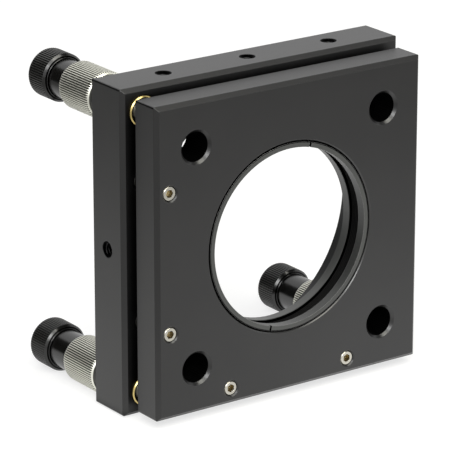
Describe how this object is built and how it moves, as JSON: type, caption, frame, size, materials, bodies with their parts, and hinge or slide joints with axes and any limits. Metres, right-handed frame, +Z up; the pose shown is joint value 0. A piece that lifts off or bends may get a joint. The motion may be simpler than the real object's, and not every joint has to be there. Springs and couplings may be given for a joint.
{
  "type": "kinematic cage mount",
  "caption": "Kinematic optic mount for a 60 mm rod cage: front plate with threaded optic cell and ring, tipped and tilted by fine adjusters with lock collars against springs.",
  "frame": {"origin": "on the optical axis in the front face of the front plate", "axes": "+X to the right seen from the front, +Y to the back along the optical axis, +Z up"},
  "size_m": [0.0894, 0.0587, 0.0894],
  "materials": {
    "black_anodise": "matt black anodised, machined",
    "black_steel": "black oxide, knurled heads",
    "knurled_steel": "bright, straight knurl",
    "bright_steel": "ground and polished stainless steel",
    "spring_wire": "drawn spring wire",
    "brass": "turned brass"
  },
  "bodies": {
    "base": {"back_plate": "black_anodise", "bushing_top_left": "brass", "bushing_bottom_left": "brass", "bushing_bottom_right": "brass", "washer_top_left": "black_steel", "washer_bottom_left": "black_steel", "washer_bottom_right": "black_steel", "spring_left_upper": "spring_wire", "spring_left_lower": "spring_wire", "spring_bottom_left": "spring_wire", "spring_bottom_right": "spring_wire", "spring_pins": "bright_steel", "rod_lock_screws": "black_steel"},
    "collar_top_left": {"lock_collar_top_left": "knurled_steel"},
    "collar_bottom_left": {"lock_collar_bottom_left": "knurled_steel"},
    "collar_bottom_right": {"lock_collar_bottom_right": "knurled_steel"},
    "nose_top_left": {"ball_top_left": "bright_steel"},
    "adjuster_top_left": {"adjuster_screw_top_left": "bright_steel", "knob_top_left": "black_steel"},
    "nose_bottom_left": {"ball_bottom_left": "bright_steel"},
    "adjuster_bottom_left": {"adjuster_screw_bottom_left": "bright_steel", "knob_bottom_left": "black_steel"},
    "nose_bottom_right": {"ball_bottom_right": "bright_steel"},
    "adjuster_bottom_right": {"adjuster_screw_bottom_right": "bright_steel", "knob_bottom_right": "black_steel"},
    "cone_carrier": {"cone_seat": "bright_steel"},
    "vee_carrier": {"vee_seat": "bright_steel"},
    "front": {"front_plate": "black_anodise", "flat_seat": "bright_steel", "anchor_screws": "bright_steel"},
    "ring": {"retaining_ring": "black_anodise"}
  },
  "joints": [
    {"name": "collar_top_left_turn", "type": "hinge", "parent": "base", "child": "collar_top_left", "pos_m": [-0.0381, 0.0352, 0.0381], "axis": [0, 1, 0], "range_deg": [0, 180]},
    {"name": "adjuster_top_left_travel", "type": "slide", "parent": "base", "child": "nose_top_left", "axis": [0, -1, 0], "range_m": [-0.0006, 0.002]},
    {"name": "adjuster_top_left_turn", "type": "hinge", "parent": "nose_top_left", "child": "adjuster_top_left", "pos_m": [-0.0381, 0.0109, 0.0381], "axis": [0, -1, 0], "range_deg": [-681, 2268]},
    {"name": "collar_bottom_left_turn", "type": "hinge", "parent": "base", "child": "collar_bottom_left", "pos_m": [-0.0381, 0.0352, -0.0381], "axis": [0, 1, 0], "range_deg": [0, 180]},
    {"name": "adjuster_bottom_left_travel", "type": "slide", "parent": "base", "child": "nose_bottom_left", "axis": [0, -1, 0], "range_m": [-0.0005, 0.0005]},
    {"name": "adjuster_bottom_left_turn", "type": "hinge", "parent": "nose_bottom_left", "child": "adjuster_bottom_left", "pos_m": [-0.0381, 0.0109, -0.0381], "axis": [0, -1, 0], "range_deg": [-567, 567]},
    {"name": "collar_bottom_right_turn", "type": "hinge", "parent": "base", "child": "collar_bottom_right", "pos_m": [0.0381, 0.0352, -0.0381], "axis": [0, 1, 0], "range_deg": [0, 180]},
    {"name": "adjuster_bottom_right_travel", "type": "slide", "parent": "base", "child": "nose_bottom_right", "axis": [0, -1, 0], "range_m": [-0.0006, 0.002]},
    {"name": "adjuster_bottom_right_turn", "type": "hinge", "parent": "nose_bottom_right", "child": "adjuster_bottom_right", "pos_m": [0.0381, 0.0109, -0.0381], "axis": [0, -1, 0], "range_deg": [-681, 2268]},
    {"name": "front_rock", "type": "hinge", "parent": "base", "child": "cone_carrier", "pos_m": [0, 0.0109, 0], "axis": [-0.7071, 0, 0.7071], "range_deg": [-0.53, 0.53]},
    {"name": "front_tip", "type": "hinge", "parent": "cone_carrier", "child": "vee_carrier", "pos_m": [0, 0.0109, -0.0381], "axis": [1, 0, 0], "range_deg": [-0.45, 1.5]},
    {"name": "front_tilt", "type": "hinge", "parent": "vee_carrier", "child": "front", "pos_m": [-0.0381, 0.0109, 0], "axis": [0, 0, -1], "range_deg": [-0.45, 1.5], "deforming": ["spring_left_upper", "spring_left_lower", "spring_bottom_left", "spring_bottom_right"]},
    {"name": "ring_turn", "type": "hinge", "parent": "front", "child": "ring", "pos_m": [0, 0.0014, 0], "axis": [0, 1, 0], "range_deg": [-90, 90]}
  ],
  "couplings": [
    {"joint": "adjuster_top_left_turn", "follows": "adjuster_top_left_travel", "rad_per_m": 19790},
    {"joint": "adjuster_bottom_left_turn", "follows": "adjuster_bottom_left_travel", "rad_per_m": 19790},
    {"joint": "adjuster_bottom_right_turn", "follows": "adjuster_bottom_right_travel", "rad_per_m": 19790},
    {"joint": "front_rock", "follows": "adjuster_bottom_left_travel", "rad_per_m": 18.559},
    {"joint": "front_tip", "follows": "adjuster_top_left_travel", "rad_per_m": 13.123},
    {"joint": "front_tilt", "follows": "adjuster_bottom_right_travel", "rad_per_m": 13.123}
  ]
}
